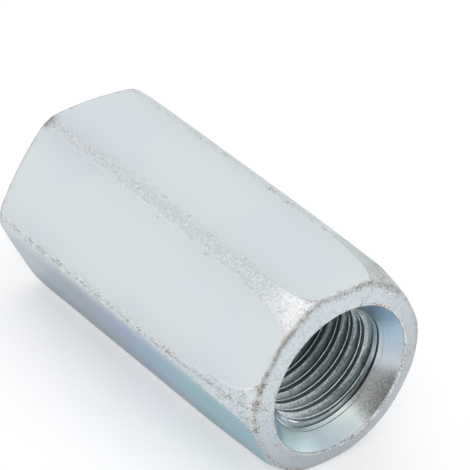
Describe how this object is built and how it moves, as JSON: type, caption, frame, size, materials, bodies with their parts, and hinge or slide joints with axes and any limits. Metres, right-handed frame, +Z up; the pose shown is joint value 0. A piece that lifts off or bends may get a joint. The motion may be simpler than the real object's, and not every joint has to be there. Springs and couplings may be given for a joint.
{
  "type": "coupling nut",
  "caption": "Long hexagon coupling nut with a thread right through and a wide countersink at each end; joins two threaded rods end to end.",
  "frame": {"origin": "middle of the flat that the nut lies on, halfway along its length", "axes": "+X along the thread axis towards the end with the larger corner slopes, +Z up out of the top flat"},
  "size_m": [0.0486, 0.027, 0.0237],
  "materials": {
    "zinc_plate": "bright zinc plate on cold-formed steel, smooth on the flats and grainy on the long edges"
  },
  "bodies": {
    "root": {"nut_body": "zinc_plate"}
  },
  "joints": []
}
